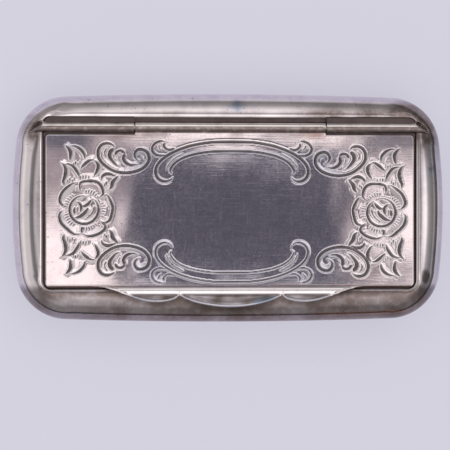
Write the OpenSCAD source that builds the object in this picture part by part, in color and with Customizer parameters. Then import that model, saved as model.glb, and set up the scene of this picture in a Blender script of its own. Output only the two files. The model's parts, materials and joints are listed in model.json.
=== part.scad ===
// Pocket case with a hinged, flush lid: a cushion-shaped body of two stamped
// shells, a full-width three-knuckle hinge sunk in the back rim, and a
// scalloped thumbpiece soldered to the front of the lid.
// +X runs along the hinge, +Y to the back, +Z up. The origin is the middle
// of the underside. All sizes are in millimetres.

/* [Case] */
// Overall length, end to end
case_l = 85; // [60:0.5:120]
// Overall width, front to back
case_w = 44.8; // [40:0.2:80]
// Height from the table to the crest of the rim
case_h = 14; // [11:0.25:25]
// Radius of the slight bow in the two ends
end_bow_r = 110; // [80:5:300]
// Radius of the slight bow in the front and back
side_bow_r = 900; // [400:50:2000]
// Radius of the four rounded corners seen from above
corner_r = 10; // [8:0.25:12]
// Thickness of the stamped sheet
wall = 0.7; // [0.4:0.05:1]
// Height of the rim above the seam between the two shells
rim_rise = 4.4; // [3:0.1:6]
// How far in from the outline the rim's curve would come level
rim_run = 5.4; // [4:0.1:8]
// How far the underside curves in before it is flat
base_run = 6.4; // [4:0.1:7]

/* [Opening] */
// Rim left at each end of the opening
end_margin = 6; // [5.5:0.1:9]
// Rim left in front of the opening
front_margin = 6.7; // [5.5:0.1:9]
// Rim left behind the hinge
back_margin = 4.8; // [4:0.1:8]
// Corner radius of the opening
opening_r = 1.5; // [1:0.1:3]
// Width of the bevel round the opening
bevel_w = 0.7; // [0.3:0.05:1.2]
// Depth of the bevel round the opening
bevel_h = 0.5; // [0.3:0.05:1]
// Depth of the rim's turned-down edge, from the crest
edge_depth = 2.4; // [1.8:0.1:4]
// Thickness of the strip that frames the opening
frame_t = 0.9; // [0.6:0.05:1.5]
// Depth of that strip
frame_depth = 2.8; // [2:0.1:5]

/* [Lid] */
// Thickness of the lid
lid_t = 0.7; // [0.5:0.05:1]
// How far the lid lies below the crest of the rim
lid_drop = 0.3; // [0.1:0.05:0.6]
// Gap between the lid's edges and the opening
lid_gap = 0.4; // [0.2:0.05:0.8]
// Corner radius of the lid
lid_r = 0.6; // [0.3:0.05:1.5]
// Thickness of the flange under the lid
bezel_t = 0.5; // [0.4:0.05:1]
// Depth of the flange under the lid
bezel_depth = 1.8; // [1:0.1:2.5]
// Gap between the flange and the frame round it
bezel_gap = 0.3; // [0.2:0.05:0.6]
// Gap between the closed lid and the top of the frame
seat_gap = 0.05; // [0.03:0.01:0.2]

/* [Hinge] */
// Outside diameter of the hinge tube
tube_d = 2.1; // [1.8:0.05:2.5]
// Thickness of the tube's wall
tube_t = 0.35; // [0.25:0.05:0.5]
// How far the tube stands above the crest of the rim
tube_proud = 0.45; // [0.1:0.05:0.6]
// Length of the middle knuckle, which the lid is soldered to
mid_knuckle_l = 37.3; // [25:0.1:50]
// Gap between knuckles
knuckle_gap = 0.2; // [0.1:0.05:0.4]
// Radial running clearance of the pin in the middle knuckle
pin_clear = 0.05; // [0.02:0.01:0.08]
// Gap between the middle knuckle and its gutter
gutter_clear = 0.15; // [0.1:0.05:0.3]
// Floor and walls of the gutter under the hinge
gutter_t = 0.55; // [0.4:0.05:1]
// Gap between the tube and the back edge of the opening
back_gap = 0.85; // [0.6:0.05:1.5]
// How far the tube's axis runs past the end of the opening
tube_past = 1.35; // [0.8:0.05:2]
// Slant of the tube's cut ends, seen from above
cut_turn = 50; // [30:1:60]
// Backward lean of the tube's cut ends
cut_lean = 27; // [10:1:40]

/* [Thumbpiece] */
// Half the thumbpiece's length along the lid
thumb_half_l = 26.9; // [15:0.1:30]
// Width of the rounded rib along the lid's front
rib_w = 1.7; // [1.2:0.1:2.5]
// Height of the rib above the crest of the rim
rib_rise = 0.6; // [0.4:0.05:1]
// How far the middle lobe reaches in front of the lid
mid_lobe = 4.1; // [2.5:0.1:5]
// How far the two side lobes reach in front of the lid
side_lobe = 3.1; // [2:0.1:4]
// Where the side lobes are deepest, from the middle
side_lobe_x = 14.5; // [12:0.1:18]
// Where the lobes meet, from the middle
cusp_x = 10.2; // [6:0.1:11]
// Thickness of the lip
lip_t = 0.4; // [0.3:0.05:0.6]
// Gap between the lip and the rim under it
lip_gap = 0.15; // [0.1:0.05:0.3]

/* [Hidden] */
$fn = 180;
curve_steps = 11;   // flats in each quarter of a shell's curve
end_steps = 4;      // flats along each bowed end
side_steps = 4;     // flats along the bowed front and back
corner_steps = 10;  // flats round each corner
lobe_steps = 8;     // points along each stretch of the thumbpiece's edge
past = 1;           // how far a cutting shape runs past what it cuts

half_l = case_l / 2;
half_w = case_w / 2;
seam_z = case_h - rim_rise;

// The outline is eight arcs, each tangent to the next. A corner's centre lies
// where the end arc and the side arc, both drawn in by corner_r, cross.
end_cx = half_l - end_bow_r;
side_cy = half_w - side_bow_r;
end_in = end_bow_r - corner_r;
side_in = side_bow_r - corner_r;
span = norm([end_cx, side_cy]);
along = (end_in * end_in - side_in * side_in + span * span) / (2 * span);
across = sqrt(end_in * end_in - along * along);
to_side = [-end_cx, side_cy] / span;
corner_c = [end_cx, 0] + along * to_side - across * [to_side[1], -to_side[0]];
end_half_a = atan2(corner_c[1], corner_c[0] - end_cx);
side_half_a = atan2(corner_c[0], corner_c[1] - side_cy);

// The opening and the lid
open_x = half_l - end_margin;
open_front = -half_w + front_margin;
open_back = half_w - back_margin;
open_mid = (open_front + open_back) / 2;
open_l = 2 * open_x;
open_w = open_back - open_front;
lid_top = case_h - lid_drop;
lid_under = lid_top - lid_t;
lid_front = open_front + lid_gap;
lid_l = open_l - 2 * lid_gap;
frame_top = lid_under - seat_gap;
frame_in_x = open_x - frame_t;
frame_in_front = open_front + frame_t;

// The hinge
tube_r = tube_d / 2;
bore_r = tube_r - tube_t;
pin_r = bore_r - pin_clear;
hinge_y = open_back - back_gap - tube_r;
hinge_z = case_h + tube_proud - tube_r;
tube_end = open_x + tube_past;
mid_half = mid_knuckle_l / 2;
pin_half = open_x - 1;
lid_back = hinge_y - tube_r - lid_gap;
channel_r = tube_r + gutter_clear;
gutter_front = hinge_y - channel_r - gutter_t;
gutter_floor = hinge_z - channel_r - gutter_t;
gutter_lip = lid_under - seat_gap - 0.1;    // clear of the lid above it

// The thumbpiece's rib stands over the bevel, and its lip over the rim
rib_front = lid_front - rib_w;
front_run = max(rim_run, front_margin - bevel_w);
crest_front = open_front - bevel_w;

// ---- curves ----

// An arc of an ellipse that is upright at (from_d, z0) and would come level
// at (from_d + run, z0 + rise). It stops where it has gone in by stop_d.
// A negative rise curves down.
function skin_arc(from_d, run, z0, rise, stop_d) =
    let (last = acos(max(0, 1 - stop_d / run)))
    [for (i = [0 : curve_steps])
        let (a = last * i / curve_steps)
        [from_d + run * (1 - cos(a)), z0 + rise * sin(a)]];

function reversed(pts) = [for (i = [len(pts) - 1 : -1 : 0]) pts[i]];

// Points along an arc and along a line, each without its last point
function arc_pts(c, r, from_a, to_a, n) =
    [for (i = [0 : n - 1]) let (a = from_a + (to_a - from_a) * i / n) c + r * [cos(a), sin(a)]];
function line_pts(p, q, n) = [for (i = [0 : n - 1]) p + (q - p) * i / n];

// Drop of the front rim below its crest at a distance in from the outline
function rim_drop(d) =
    d >= front_run ? 0 : rim_rise * (1 - sqrt(1 - pow((front_run - max(d, 0)) / front_run, 2)));

// The outline's arcs: centre, radius, first and last angle, number of flats.
// The second four are the first four turned by half a turn.
arcs = [for (turn = [0, 180]) let (side = cos(turn)) each [
    [[side * end_cx, 0], end_bow_r, turn - end_half_a, turn + end_half_a, end_steps],
    [side * corner_c, corner_r, turn + end_half_a, turn + 90 - side_half_a, corner_steps],
    [[0, side * side_cy], side_bow_r, turn + 90 - side_half_a, turn + 90 + side_half_a, side_steps],
    [side * [-corner_c[0], corner_c[1]], corner_r, turn + 90 + side_half_a,
     turn + 180 - end_half_a, corner_steps]]];
outline = [for (arc = arcs) each arc_pts(arc[0], arc[1], arc[2], arc[3], arc[4])];
inward = [for (arc = arcs) each arc_pts([0, 0], -1, arc[2], arc[3], arc[4])];

// The opening's edge, with one point for each of the outline's
flat_x = open_x - opening_r;
flat_back = open_back - opening_r;
flat_front = open_front + opening_r;
opening = concat(
    line_pts([open_x, flat_front], [open_x, flat_back], end_steps),
    arc_pts([flat_x, flat_back], opening_r, 0, 90, corner_steps),
    line_pts([flat_x, open_back], [-flat_x, open_back], side_steps),
    arc_pts([-flat_x, flat_back], opening_r, 90, 180, corner_steps),
    line_pts([-open_x, flat_back], [-open_x, flat_front], end_steps),
    arc_pts([-flat_x, flat_front], opening_r, 180, 270, corner_steps),
    line_pts([-flat_x, open_front], [flat_x, open_front], side_steps),
    arc_pts([flat_x, flat_front], opening_r, 270, 360, corner_steps));

to_opening = opening - outline;

// A section, as distance in from the outline and height, stood at station i
// and facing along way
function stand(section, i, way) =
    [for (p = section) [outline[i][0] + way[0] * p[0], outline[i][1] + way[1] * p[0], p[1]]];

// ---- shared shapes ----

// Skin through closed sections, one at each station round the case. With
// capped set, point 0 of the sections closes below and the last one above.
module ring_skin(sections, capped = false) {
    n = len(sections);
    k = len(sections[0]);
    strips = [for (i = [0 : n - 1], j = [0 : k - (capped ? 2 : 1)])
        [i * k + j, i * k + (j + 1) % k, (i + 1) % n * k + (j + 1) % k, (i + 1) % n * k + j]];
    caps = capped
        ? [[for (i = [0 : n - 1]) i * k], [for (i = [n - 1 : -1 : 0]) i * k + k - 1]]
        : [];
    polyhedron([for (s = sections, p = s) p], concat(strips, caps), convexity = 6);
}

module rounded_rect(l, w, r) {
    square([l - 2 * r, w], center = true);
    square([l, w - 2 * r], center = true);
    for (x = [-1, 1], y = [-1, 1])
        translate([x * (l / 2 - r), y * (w / 2 - r)]) circle(r);
}

// A bar of the given radius along the hinge axis
module hinge_bar(r, from_x, to_x) {
    translate([from_x, hinge_y, hinge_z])
        rotate([0, 90, 0])
            cylinder(r = r, h = to_x - from_x);
}

// What lies beyond the slanted cut at the right-hand end of the hinge
module beyond_cut() {
    translate([tube_end, hinge_y, hinge_z])
        rotate([0, -cut_lean, cut_turn])
            translate([0, -3 * tube_d, -3 * tube_d])
                cube([6 * tube_d, 6 * tube_d, 6 * tube_d]);
}

// A bar from inside the case out to the slanted cut, on the right-hand side
module cut_bar(r, from_x) {
    difference() {
        hinge_bar(r, from_x, tube_end + 2 * tube_d);
        beyond_cut();
    }
}

module mirrored_pair() {
    children();
    mirror([1, 0, 0]) children();
}

module outer_knuckle() {
    difference() {
        cut_bar(tube_r, mid_half + knuckle_gap);
        hinge_bar(bore_r - pin_clear, mid_half, pin_half);
        hinge_bar(bore_r, pin_half, tube_end + 3 * tube_d);
    }
}

module pin_plug() {
    cut_bar(bore_r, pin_half);
}

// ---- body ----

// The pan: flat base, sides curving up and out to the seam
module lower_shell() {
    section = concat(
        reversed(skin_arc(0, base_run, seam_z, -seam_z, base_run)),
        skin_arc(wall, base_run - wall, seam_z, wall - seam_z, base_run - wall));
    color("silver")
        ring_skin([for (i = [0 : len(outline) - 1]) stand(section, i, inward[i])], capped = true);
}

// Section of the rim where the opening is a distance m in from the outline:
// up the outside, down the bevel and the turned-down edge, back inside
function rim_section(m) =
    let (run = max(rim_run, m - bevel_w),
         outside = skin_arc(0, run, seam_z, rim_rise, m - bevel_w),
         inside = skin_arc(wall, run - wall, seam_z, rim_rise - wall, m - 2 * wall))
    concat(outside,
           [[m, outside[curve_steps][1] - bevel_h], [m, case_h - edge_depth],
            [m - wall, case_h - edge_depth]],
           reversed(inside));

// The rim: curves up and in from the seam, with a notch at each end of the
// opening's back edge for the hinge tube
module upper_shell() {
    color("silver") difference() {
        ring_skin([for (i = [0 : len(outline) - 1]) let (m = norm(to_opening[i]))
            stand(rim_section(m), i, to_opening[i] / m)]);
        mirrored_pair() cut_bar(tube_r, open_x - past);
    }
}

// The strip soldered inside the turned-down edge on three sides. Its top is
// the ledge that the lid closes on.
module opening_frame() {
    frame_l = open_l;
    back = gutter_front;
    color("darkgray") intersection() {
        translate([0, open_mid, frame_top - frame_depth])
            linear_extrude(frame_depth) difference() {
                rounded_rect(frame_l, open_w, opening_r);
                rounded_rect(frame_l - 2 * frame_t, open_w - 2 * frame_t, opening_r / 2);
            }
        translate([-open_x, open_front, 0])
            cube([frame_l, back - open_front, case_h]);
    }
}

// The trough behind the lid that the hinge lies in. It holds the two outer
// knuckles and stands clear of the middle one.
module hinge_gutter() {
    color("darkgray") difference() {
        intersection() {
            union() {
                translate([-open_x, gutter_front, gutter_floor])
                    cube([open_l, open_back - gutter_front, gutter_lip - gutter_floor]);
                mirrored_pair() solder_fillet();
            }
            translate([0, open_mid, 0]) linear_extrude(case_h)
                rounded_rect(open_l, open_w, opening_r);
        }
        hinge_bar(channel_r, -mid_half - knuckle_gap, mid_half + knuckle_gap);
        hinge_bar(tube_r, -open_x - past, open_x + past);
    }
}

// Fills the corner between an outer knuckle and the back of the opening
module solder_fillet() {
    from_x = mid_half + knuckle_gap;
    translate([from_x, hinge_y, gutter_floor])
        cube([open_x - from_x, open_back - hinge_y, hinge_z + tube_r / 2 - gutter_floor]);
}

// ---- hinge ----

module knuckle_left() {
    color("tan") mirror([1, 0, 0]) outer_knuckle();
}

module knuckle_right() {
    color("tan") outer_knuckle();
}

// The middle knuckle, soldered to the lid, turns on the pin
module knuckle_lid() {
    color("burlywood") difference() {
        hinge_bar(tube_r, -mid_half, mid_half);
        hinge_bar(bore_r, -mid_half - past, mid_half + past);
    }
}

// Tight in the outer knuckles, running free in the middle one
module hinge_pin() {
    color("dimgray") hinge_bar(pin_r, -pin_half, pin_half);
}

// Stopping that closes each outer knuckle, filed flush with its slanted end
module pin_plug_left() {
    color("gray") mirror([1, 0, 0]) pin_plug();
}

module pin_plug_right() {
    color("gray") pin_plug();
}

// ---- lid ----

// Flat plate. Its middle runs back to the knuckle it is soldered to.
module lid_plate() {
    color("lightsteelblue") difference() {
        translate([0, 0, lid_under]) linear_extrude(lid_t) {
            translate([0, (lid_front + lid_back) / 2])
                rounded_rect(lid_l, lid_back - lid_front, lid_r);
            translate([-mid_half, hinge_y - 3 * tube_r])
                square([2 * mid_half, 3 * tube_r]);
        }
        hinge_bar(tube_r, -mid_half - past, mid_half + past);
    }
}

// Flange under the lid that drops inside the frame and keeps the lid true
module lid_bezel() {
    front = frame_in_front + bezel_gap;
    back = gutter_front - 2 * bezel_gap;
    l = 2 * (frame_in_x - bezel_gap);
    w = back - front;
    color("gray") translate([0, (front + back) / 2, lid_under - bezel_depth])
        linear_extrude(bezel_depth) difference() {
            rounded_rect(l, w, opening_r);
            rounded_rect(l - 2 * bezel_t, w - 2 * bezel_t, opening_r - bezel_t);
        }
}

// Plan of the thumbpiece: one middle lobe and two side lobes that run out
// along the lid in a long ogee
module thumb_plan() {
    cusp_y = rib_front + lip_gap / 2;
    deep_mid = lid_front - mid_lobe;
    deep_side = lid_front - side_lobe;
    mid_pts = [for (i = [-lobe_steps : lobe_steps])
        let (u = i / lobe_steps)
        [cusp_x * u, deep_mid + (cusp_y - deep_mid) * (1 - sqrt(1 - 0.75 * u * u)) * 2]];
    side_pts = [for (i = [1 : lobe_steps])
        let (a = 90 * i / lobe_steps)
        [cusp_x + (side_lobe_x - cusp_x) * (1 - cos(a)), cusp_y + (deep_side - cusp_y) * sin(a)]];
    ogee_pts = [for (i = [1 : lobe_steps])
        let (a = 180 * i / lobe_steps)
        [side_lobe_x + (thumb_half_l - side_lobe_x) * i / lobe_steps,
         (deep_side + lid_front) / 2 + (deep_side - lid_front) / 2 * cos(a)]];
    right = concat(side_pts, ogee_pts);
    left = [for (p = reversed(right)) [-p[0], p[1]]];
    polygon(concat(left, mid_pts, right));
}

// Section of the thumbpiece, as y and height: a rounded rib at the lid's
// edge, a crease, and a lip that follows the rim a small gap above it
module thumb_section() {
    lip_end = lid_front - mid_lobe - past;
    steps = 2 * lobe_steps;
    rib_pts = [for (i = [0 : steps])
        let (a = 180 * i / steps)
        [lid_front - rib_w / 2 + rib_w / 2 * cos(a),
         lid_top + (case_h + rib_rise - lid_top) * pow(sin(a), 0.7)
             + (case_h + lip_gap + lip_t - lid_top) * i / steps * (1 - sin(a))]];
    lip_y = [for (i = [0 : lobe_steps]) crest_front + (lip_end - crest_front) * i / lobe_steps];
    lip_top = [for (y = lip_y)
        [min(y, rib_front - 0.05), case_h + lip_gap + lip_t - rim_drop(y + half_w)]];
    lip_under = [for (y = lip_y) [y, case_h + lip_gap - rim_drop(y + half_w)]];
    bevel_top = open_front - bevel_w;
    polygon(concat(
        rib_pts, lip_top, reversed(lip_under),
        [[bevel_top + lip_gap / 2, case_h + lip_gap],
         [open_front + lip_gap, case_h - bevel_h],
         [lid_front - 0.1, lid_under + 0.1],
         [lid_front, lid_under + 0.1]]));
}

module thumbpiece() {
    color("whitesmoke") intersection() {
        rotate([90, 0, 90]) linear_extrude(2 * thumb_half_l, center = true) thumb_section();
        translate([0, 0, lid_under - past]) linear_extrude(case_h) thumb_plan();
    }
}

lower_shell();
upper_shell();
opening_frame();
hinge_gutter();
knuckle_left();
knuckle_right();
knuckle_lid();
hinge_pin();
pin_plug_left();
pin_plug_right();
lid_plate();
lid_bezel();
thumbpiece();
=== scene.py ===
import json
import math

import bmesh
import bpy
import numpy as np
from mathutils import Matrix, Vector


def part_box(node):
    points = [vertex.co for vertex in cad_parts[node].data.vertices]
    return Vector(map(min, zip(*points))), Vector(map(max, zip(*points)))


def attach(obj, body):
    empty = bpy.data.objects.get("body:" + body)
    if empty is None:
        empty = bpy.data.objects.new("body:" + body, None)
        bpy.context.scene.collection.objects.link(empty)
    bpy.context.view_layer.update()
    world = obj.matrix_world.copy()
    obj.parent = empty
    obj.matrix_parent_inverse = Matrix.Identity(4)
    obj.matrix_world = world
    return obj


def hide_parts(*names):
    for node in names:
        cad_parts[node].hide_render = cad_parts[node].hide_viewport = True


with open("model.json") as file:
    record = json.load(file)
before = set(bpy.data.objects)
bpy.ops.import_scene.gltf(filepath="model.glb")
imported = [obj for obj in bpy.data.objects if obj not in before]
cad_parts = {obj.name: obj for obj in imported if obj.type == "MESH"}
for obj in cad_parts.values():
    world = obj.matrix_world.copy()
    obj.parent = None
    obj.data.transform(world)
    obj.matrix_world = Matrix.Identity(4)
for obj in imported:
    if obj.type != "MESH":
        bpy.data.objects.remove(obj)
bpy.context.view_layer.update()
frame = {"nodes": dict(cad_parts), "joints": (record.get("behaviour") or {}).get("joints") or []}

# Everything below is worked out in millimetres, in the frame's own axes,
# and turned into metres only when a mesh is made.
mm = 0.001


def boxOf(node):
    lo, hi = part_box(node)
    return [c / mm for c in lo], [c / mm for c in hi]


panHi = boxOf("lower_shell")[1]
rimHi = boxOf("upper_shell")[1]
lidLo, lidHi = boxOf("lid_plate")
ledgeLo, ledgeHi = boxOf("opening_frame")
gutterHi = boxOf("hinge_gutter")[1]
midLo, midHi = boxOf("knuckle_lid")
pinHi = boxOf("hinge_pin")[1]
hingeJoint = next(j for j in frame["joints"] if j["name"] == "lid_hinge")
hingeY, hingeZ = hingeJoint["pos_m"][1] / mm, hingeJoint["pos_m"][2] / mm

halfL, halfW = panHi[0], panHi[1]
seamZ, crestZ = panHi[2], rimHi[2]
openX, openFront, openBack = ledgeHi[0], ledgeLo[1], gutterHi[1]
lidTop, lidUnder, lidFront = lidHi[2], lidLo[2], lidLo[1]
tubeR, midHalf = (midHi[2] - midLo[2]) / 2, midHi[0]
print("frame read")


def smoothStep(x, lo, hi):
    # 0 below lo, 1 above hi
    t = np.clip((np.asarray(x, float) - lo) / (hi - lo), 0, 1)
    return t * t * (3 - 2 * t)


def band(x, lo, loFull, hiFull, hi):
    # 1 between the two middle values, running out to 0 at the outer ones
    return smoothStep(x, lo, loFull) * (1 - smoothStep(x, hiFull, hi))


def spot(x, y, at, size, inner, outer):
    # 1 in the middle of a round or oval stain, 0 outside it
    return 1 - smoothStep(np.hypot((x - at[0]) / size[0], (y - at[1]) / size[1]), inner, outer)


def makePiece(name, points, faces, body, material, replaced=(), marks=None):
    mesh = bpy.data.meshes.new(name)
    mesh.from_pydata([tuple(p) for p in np.asarray(points, float) * mm], [], faces)
    bm = bmesh.new()
    bm.from_mesh(mesh)
    bmesh.ops.recalc_face_normals(bm, faces=bm.faces)
    bm.to_mesh(mesh)
    bm.free()
    for key, values in (marks or {}).items():
        layer = mesh.attributes.new(key, "FLOAT", "POINT")
        layer.data.foreach_set("value", np.asarray(values, np.float32))
    for p in mesh.polygons:
        p.use_smooth = len(p.vertices) == 4
    mesh.materials.append(material)
    piece = bpy.data.objects.new(name, mesh)
    bpy.context.scene.collection.objects.link(piece)
    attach(piece, body)
    if replaced:
        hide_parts(*replaced)
    print("made", name, len(mesh.vertices), "points")
    return piece


def ringFaces(rings, count, closed=False):
    # quads between rings of points; closed joins the last ring to the first
    faces = []
    for r in range(rings if closed else rings - 1):
        for c in range(count):
            d = (c + 1) % count
            s = (r + 1) % rings
            faces.append((r * count + c, r * count + d, s * count + d, s * count + c))
    return faces


def curveThrough(points, step=0.12):
    # a smooth line through the given points
    pts = [Vector(p) for p in points]
    pts = [2 * pts[0] - pts[1]] + pts + [2 * pts[-1] - pts[-2]]
    line = []
    for a, b, c, d in zip(pts, pts[1:], pts[2:], pts[3:]):
        n = max(2, int((c - b).length / step))
        for i in range(n):
            t = i / n
            line.append(0.5 * (2 * b + (c - a) * t + (2 * a - 5 * b + 4 * c - d) * t * t
                               + (3 * b - 3 * c + d - a) * t ** 3))
    line.append(pts[-2])
    return np.array([[p[0], p[1]] for p in line])


class Shade:
    # a short way to add and wire shader nodes
    def __init__(self, tree):
        self.tree = tree
        self.tree.nodes.clear()

    def add(self, kind, out=0, settings=None, **inputs):
        n = self.tree.nodes.new(kind)
        for key, value in (settings or {}).items():
            setattr(n, key, value)
        for key, value in inputs.items():
            name = key.replace("_", " ")
            socket = n.inputs[int(key[1:])] if key[0] == "i" and key[1:].isdigit() else n.inputs[name]
            if isinstance(value, bpy.types.NodeSocket):
                self.tree.links.new(value, socket)
            else:
                socket.default_value = value
        return n.outputs[out] if len(n.outputs) else None

    def calc(self, operation, a, b=0.0):
        return self.add("ShaderNodeMath", settings={"operation": operation}, i0=a, i1=b)

    def times(self, a, b):
        return self.calc("MULTIPLY", a, b)

    def plus(self, a, b):
        return self.calc("ADD", a, b)

    def step(self, value, lo, hi, toLo=0.0, toHi=1.0):
        return self.add("ShaderNodeMapRange", settings={"interpolation_type": "SMOOTHSTEP"},
                        i0=value, i1=lo, i2=hi, i3=toLo, i4=toHi)

    def noise(self, vector, scale, detail=3.0, roughness=0.5):
        return self.add("ShaderNodeTexNoise", Vector=vector, Scale=scale, Detail=detail,
                        Roughness=roughness)

    def stretch(self, vector, scale):
        return self.add("ShaderNodeVectorMath", settings={"operation": "MULTIPLY"},
                        i0=vector, i1=scale)

    def mix(self, share, a, b, how="MIX"):
        n = self.tree.nodes.new("ShaderNodeMix")
        n.data_type = "RGBA"
        n.blend_type = how
        for socket, value in ((n.inputs[0], share), (n.inputs[6], a), (n.inputs[7], b)):
            if isinstance(value, bpy.types.NodeSocket):
                self.tree.links.new(value, socket)
            else:
                socket.default_value = value
        return n.outputs[2]

    def ramp(self, value, stops):
        n = self.tree.nodes.new("ShaderNodeValToRGB")
        self.tree.links.new(value, n.inputs[0])
        n.color_ramp.elements.remove(n.color_ramp.elements[1])
        n.color_ramp.elements[0].position = stops[0][0]
        n.color_ramp.elements[0].color = (*stops[0][1], 1)
        for at, colour in stops[1:]:
            n.color_ramp.elements.new(at).color = (*colour, 1)
        return n.outputs[0]


# What the silver looks like. Colours are the metal's own reflection.
silverLook = {
    "clean": (0.88, 0.79, 0.81, 1),
    "dull": (0.80, 0.77, 0.80, 1),
    # the slate and soot colours also serve as painted shade and painted darker reflections
    "slateAndShade": (0.52, 0.50, 0.58, 1),
    "brown": (0.22, 0.17, 0.16, 1),
    "deep": (0.095, 0.078, 0.083, 1),
    "sootAndShade": (0.035, 0.024, 0.020, 1),
    "blue": (0.26, 0.34, 0.46, 1),
    "ember": (0.55, 0.25, 0.17, 1),
}
# fineness of the silver's marks, in marks a metre
silverMarks = {"clouds": 260.0, "stains": 700.0, "specks": 2400.0, "grain": 2600.0,
               "hairs": (180, 5200, 1500), "cross": (4200, 260, 1500)}


def silver(name, roughness=0.17, scratches=1.0, mottle=0.5, pits=0.5, tint=None, along=(1, 1), relief=4.0):
    # along: how the scratches run; relief: height of the fine marks, in thousandths of a mm
    material = bpy.data.materials.new(name)
    material.use_nodes = True
    s = Shade(material.node_tree)
    where = s.add("ShaderNodeTexCoord", out=3)

    def mark(key):
        return s.add("ShaderNodeAttribute", out=2, settings={"attribute_name": key})

    m = silverMarks
    hairScale = (m["hairs"][0] * along[0], m["hairs"][1] * along[1], m["hairs"][2])
    clouds = s.noise(where, m["clouds"], 5.0, 0.62)
    grain = s.noise(where, m["grain"], 4.0, 0.7)
    hairs = s.noise(s.stretch(where, hairScale), 1.0, 3.0, 0.6)
    cross = s.noise(s.stretch(where, m["cross"]), 1.0, 2.0, 0.5)
    specks = s.noise(where, m["specks"], 1.0, 0.4)
    stains = s.noise(where, m["stains"], 5.0, 0.65)

    dullShare = s.times(s.step(clouds, 0.42, 0.68), mottle)
    colour = s.mix(dullShare, tint or silverLook["clean"], silverLook["dull"], "MULTIPLY")
    # the brown, slate and soot marks read here are partly tarnish and partly painted shade, and where a
    # piece lowers them it paints a highlight
    patinaAndShadeShare = s.times(mark("patinaAndShade"), s.step(stains, 0.25, 0.6, 0.75, 1.05))
    # fine scratches rub through the grey
    rubbed = s.calc("MAXIMUM", s.step(hairs, 0.55, 0.70, 0.0, 0.55),
                    s.step(cross, 0.58, 0.72, 0.0, 0.45))
    slateAndShadeShare = s.times(mark("slateAndShade"), s.step(clouds, 0.25, 0.7, 0.8, 1.0))
    slateAndShadeShare = s.times(slateAndShadeShare, s.calc("SUBTRACT", 1.0, rubbed))
    colour = s.mix(slateAndShadeShare, colour, silverLook["slateAndShade"])
    colour = s.mix(s.calc("MINIMUM", patinaAndShadeShare, 1.0), colour, silverLook["brown"])
    blueShare = s.times(mark("bluing"), s.step(clouds, 0.3, 0.6, 0.5, 1.0))
    colour = s.mix(blueShare, colour, silverLook["blue"])
    for key, look in (("ember", "ember"), ("cut", "deep"), ("sootAndShade", "sootAndShade")):
        colour = s.mix(mark(key), colour, silverLook[look])
    pitShare = s.times(s.step(specks, 0.69, 0.75), s.times(s.step(clouds, 0.45, 0.6), pits))
    colour = s.mix(pitShare, colour, silverLook["deep"])

    rough = s.step(grain, 0.35, 0.75, roughness * 0.7, roughness * 1.35)
    rough = s.plus(rough, s.times(mark("patinaAndShade"), 0.10))
    rough = s.plus(rough, s.times(mark("cut"), 0.2))
    height = s.plus(s.times(hairs, 0.9 * scratches), s.times(cross, 0.35 * scratches))
    height = s.plus(height, s.times(clouds, 0.9))
    height = s.calc("SUBTRACT", height, s.times(pitShare, 1.2))
    bump = s.add("ShaderNodeBump", Strength=0.35, Distance=relief * 0.001 * mm, Height=height)
    shader = s.add("ShaderNodeBsdfPrincipled", Base_Color=colour, Metallic=1.0,
                   Roughness=rough, Normal=bump)
    s.add("ShaderNodeOutputMaterial", Surface=shader)
    return material


lidSilver = silver("engraved lid silver", roughness=0.055, scratches=1.4, mottle=0.55, pits=0.8, relief=2.1)
rimSilver = silver("case silver", roughness=0.065, scratches=0.6, mottle=0.6, pits=0.8, along=(3, 0.2),
                   relief=2.2)
thumbSilver = silver("thumbpiece silver", roughness=0.07, scratches=0.4, mottle=0.3,
                     tint=(0.95, 0.88, 0.89, 1), relief=2.0)
tubeSilver = silver("hinge silver", roughness=0.13, scratches=0.8, mottle=0.7, pits=0.9,
                    tint=(0.90, 0.82, 0.78, 1), along=(8, 0.2))
worn = {"scratches": 0.5, "mottle": 0.9, "pits": 0.6}
insideSilver = silver("inner silver", roughness=0.26, tint=(0.58, 0.52, 0.46, 1), **worn)
ledgeSilver = silver("ledge silver", roughness=0.35, tint=(0.10, 0.065, 0.06, 1), **worn)
# painted shade: the gutter behind the tube gets a near-black tint for the shade in that recess, with tarnish
gutterSilver = silver("gutter silver", roughness=0.40, tint=(0.13, 0.10, 0.095, 1), **worn)
pinMetal = silver("pin metal", roughness=0.30, scratches=0.5, mottle=0.8, pits=0.8,
                  tint=(0.45, 0.42, 0.40, 1))
print("materials made")

view = {
    "aimX": -1.1,        # the middle of the view, in mm
    "aimY": -3.37,
    "lean": 4.56,        # degrees the camera stands off to the left
    "distance": 500.0,
    "across": 87.9,      # mm of lid across the view
}

lean = math.radians(view["lean"])
eye = Vector((view["aimX"] - view["distance"] * math.sin(lean), view["aimY"],
              lidTop + view["distance"] * math.cos(lean)))
aim = Vector((view["aimX"], view["aimY"], lidTop))
cameraData = bpy.data.cameras.new("camera")
cameraData.sensor_width = 36
cameraData.lens = 36 * view["distance"] / view["across"]
cameraData.clip_start, cameraData.clip_end = 0.01, 20
camera = bpy.data.objects.new("camera", cameraData)
bpy.context.scene.collection.objects.link(camera)
camera.location = eye * mm
# turned so that +Y is up in the view
forward = (aim - eye).normalized()
sideways = forward.cross(Vector((0, 1, 0))).normalized()
upward = sideways.cross(forward)
camera.rotation_mode = "QUATERNION"
camera.rotation_quaternion = Matrix((sideways, upward, -forward)).transposed().to_quaternion()
bpy.context.scene.camera = camera
bpy.context.scene.view_settings.view_transform = "Standard"

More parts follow.
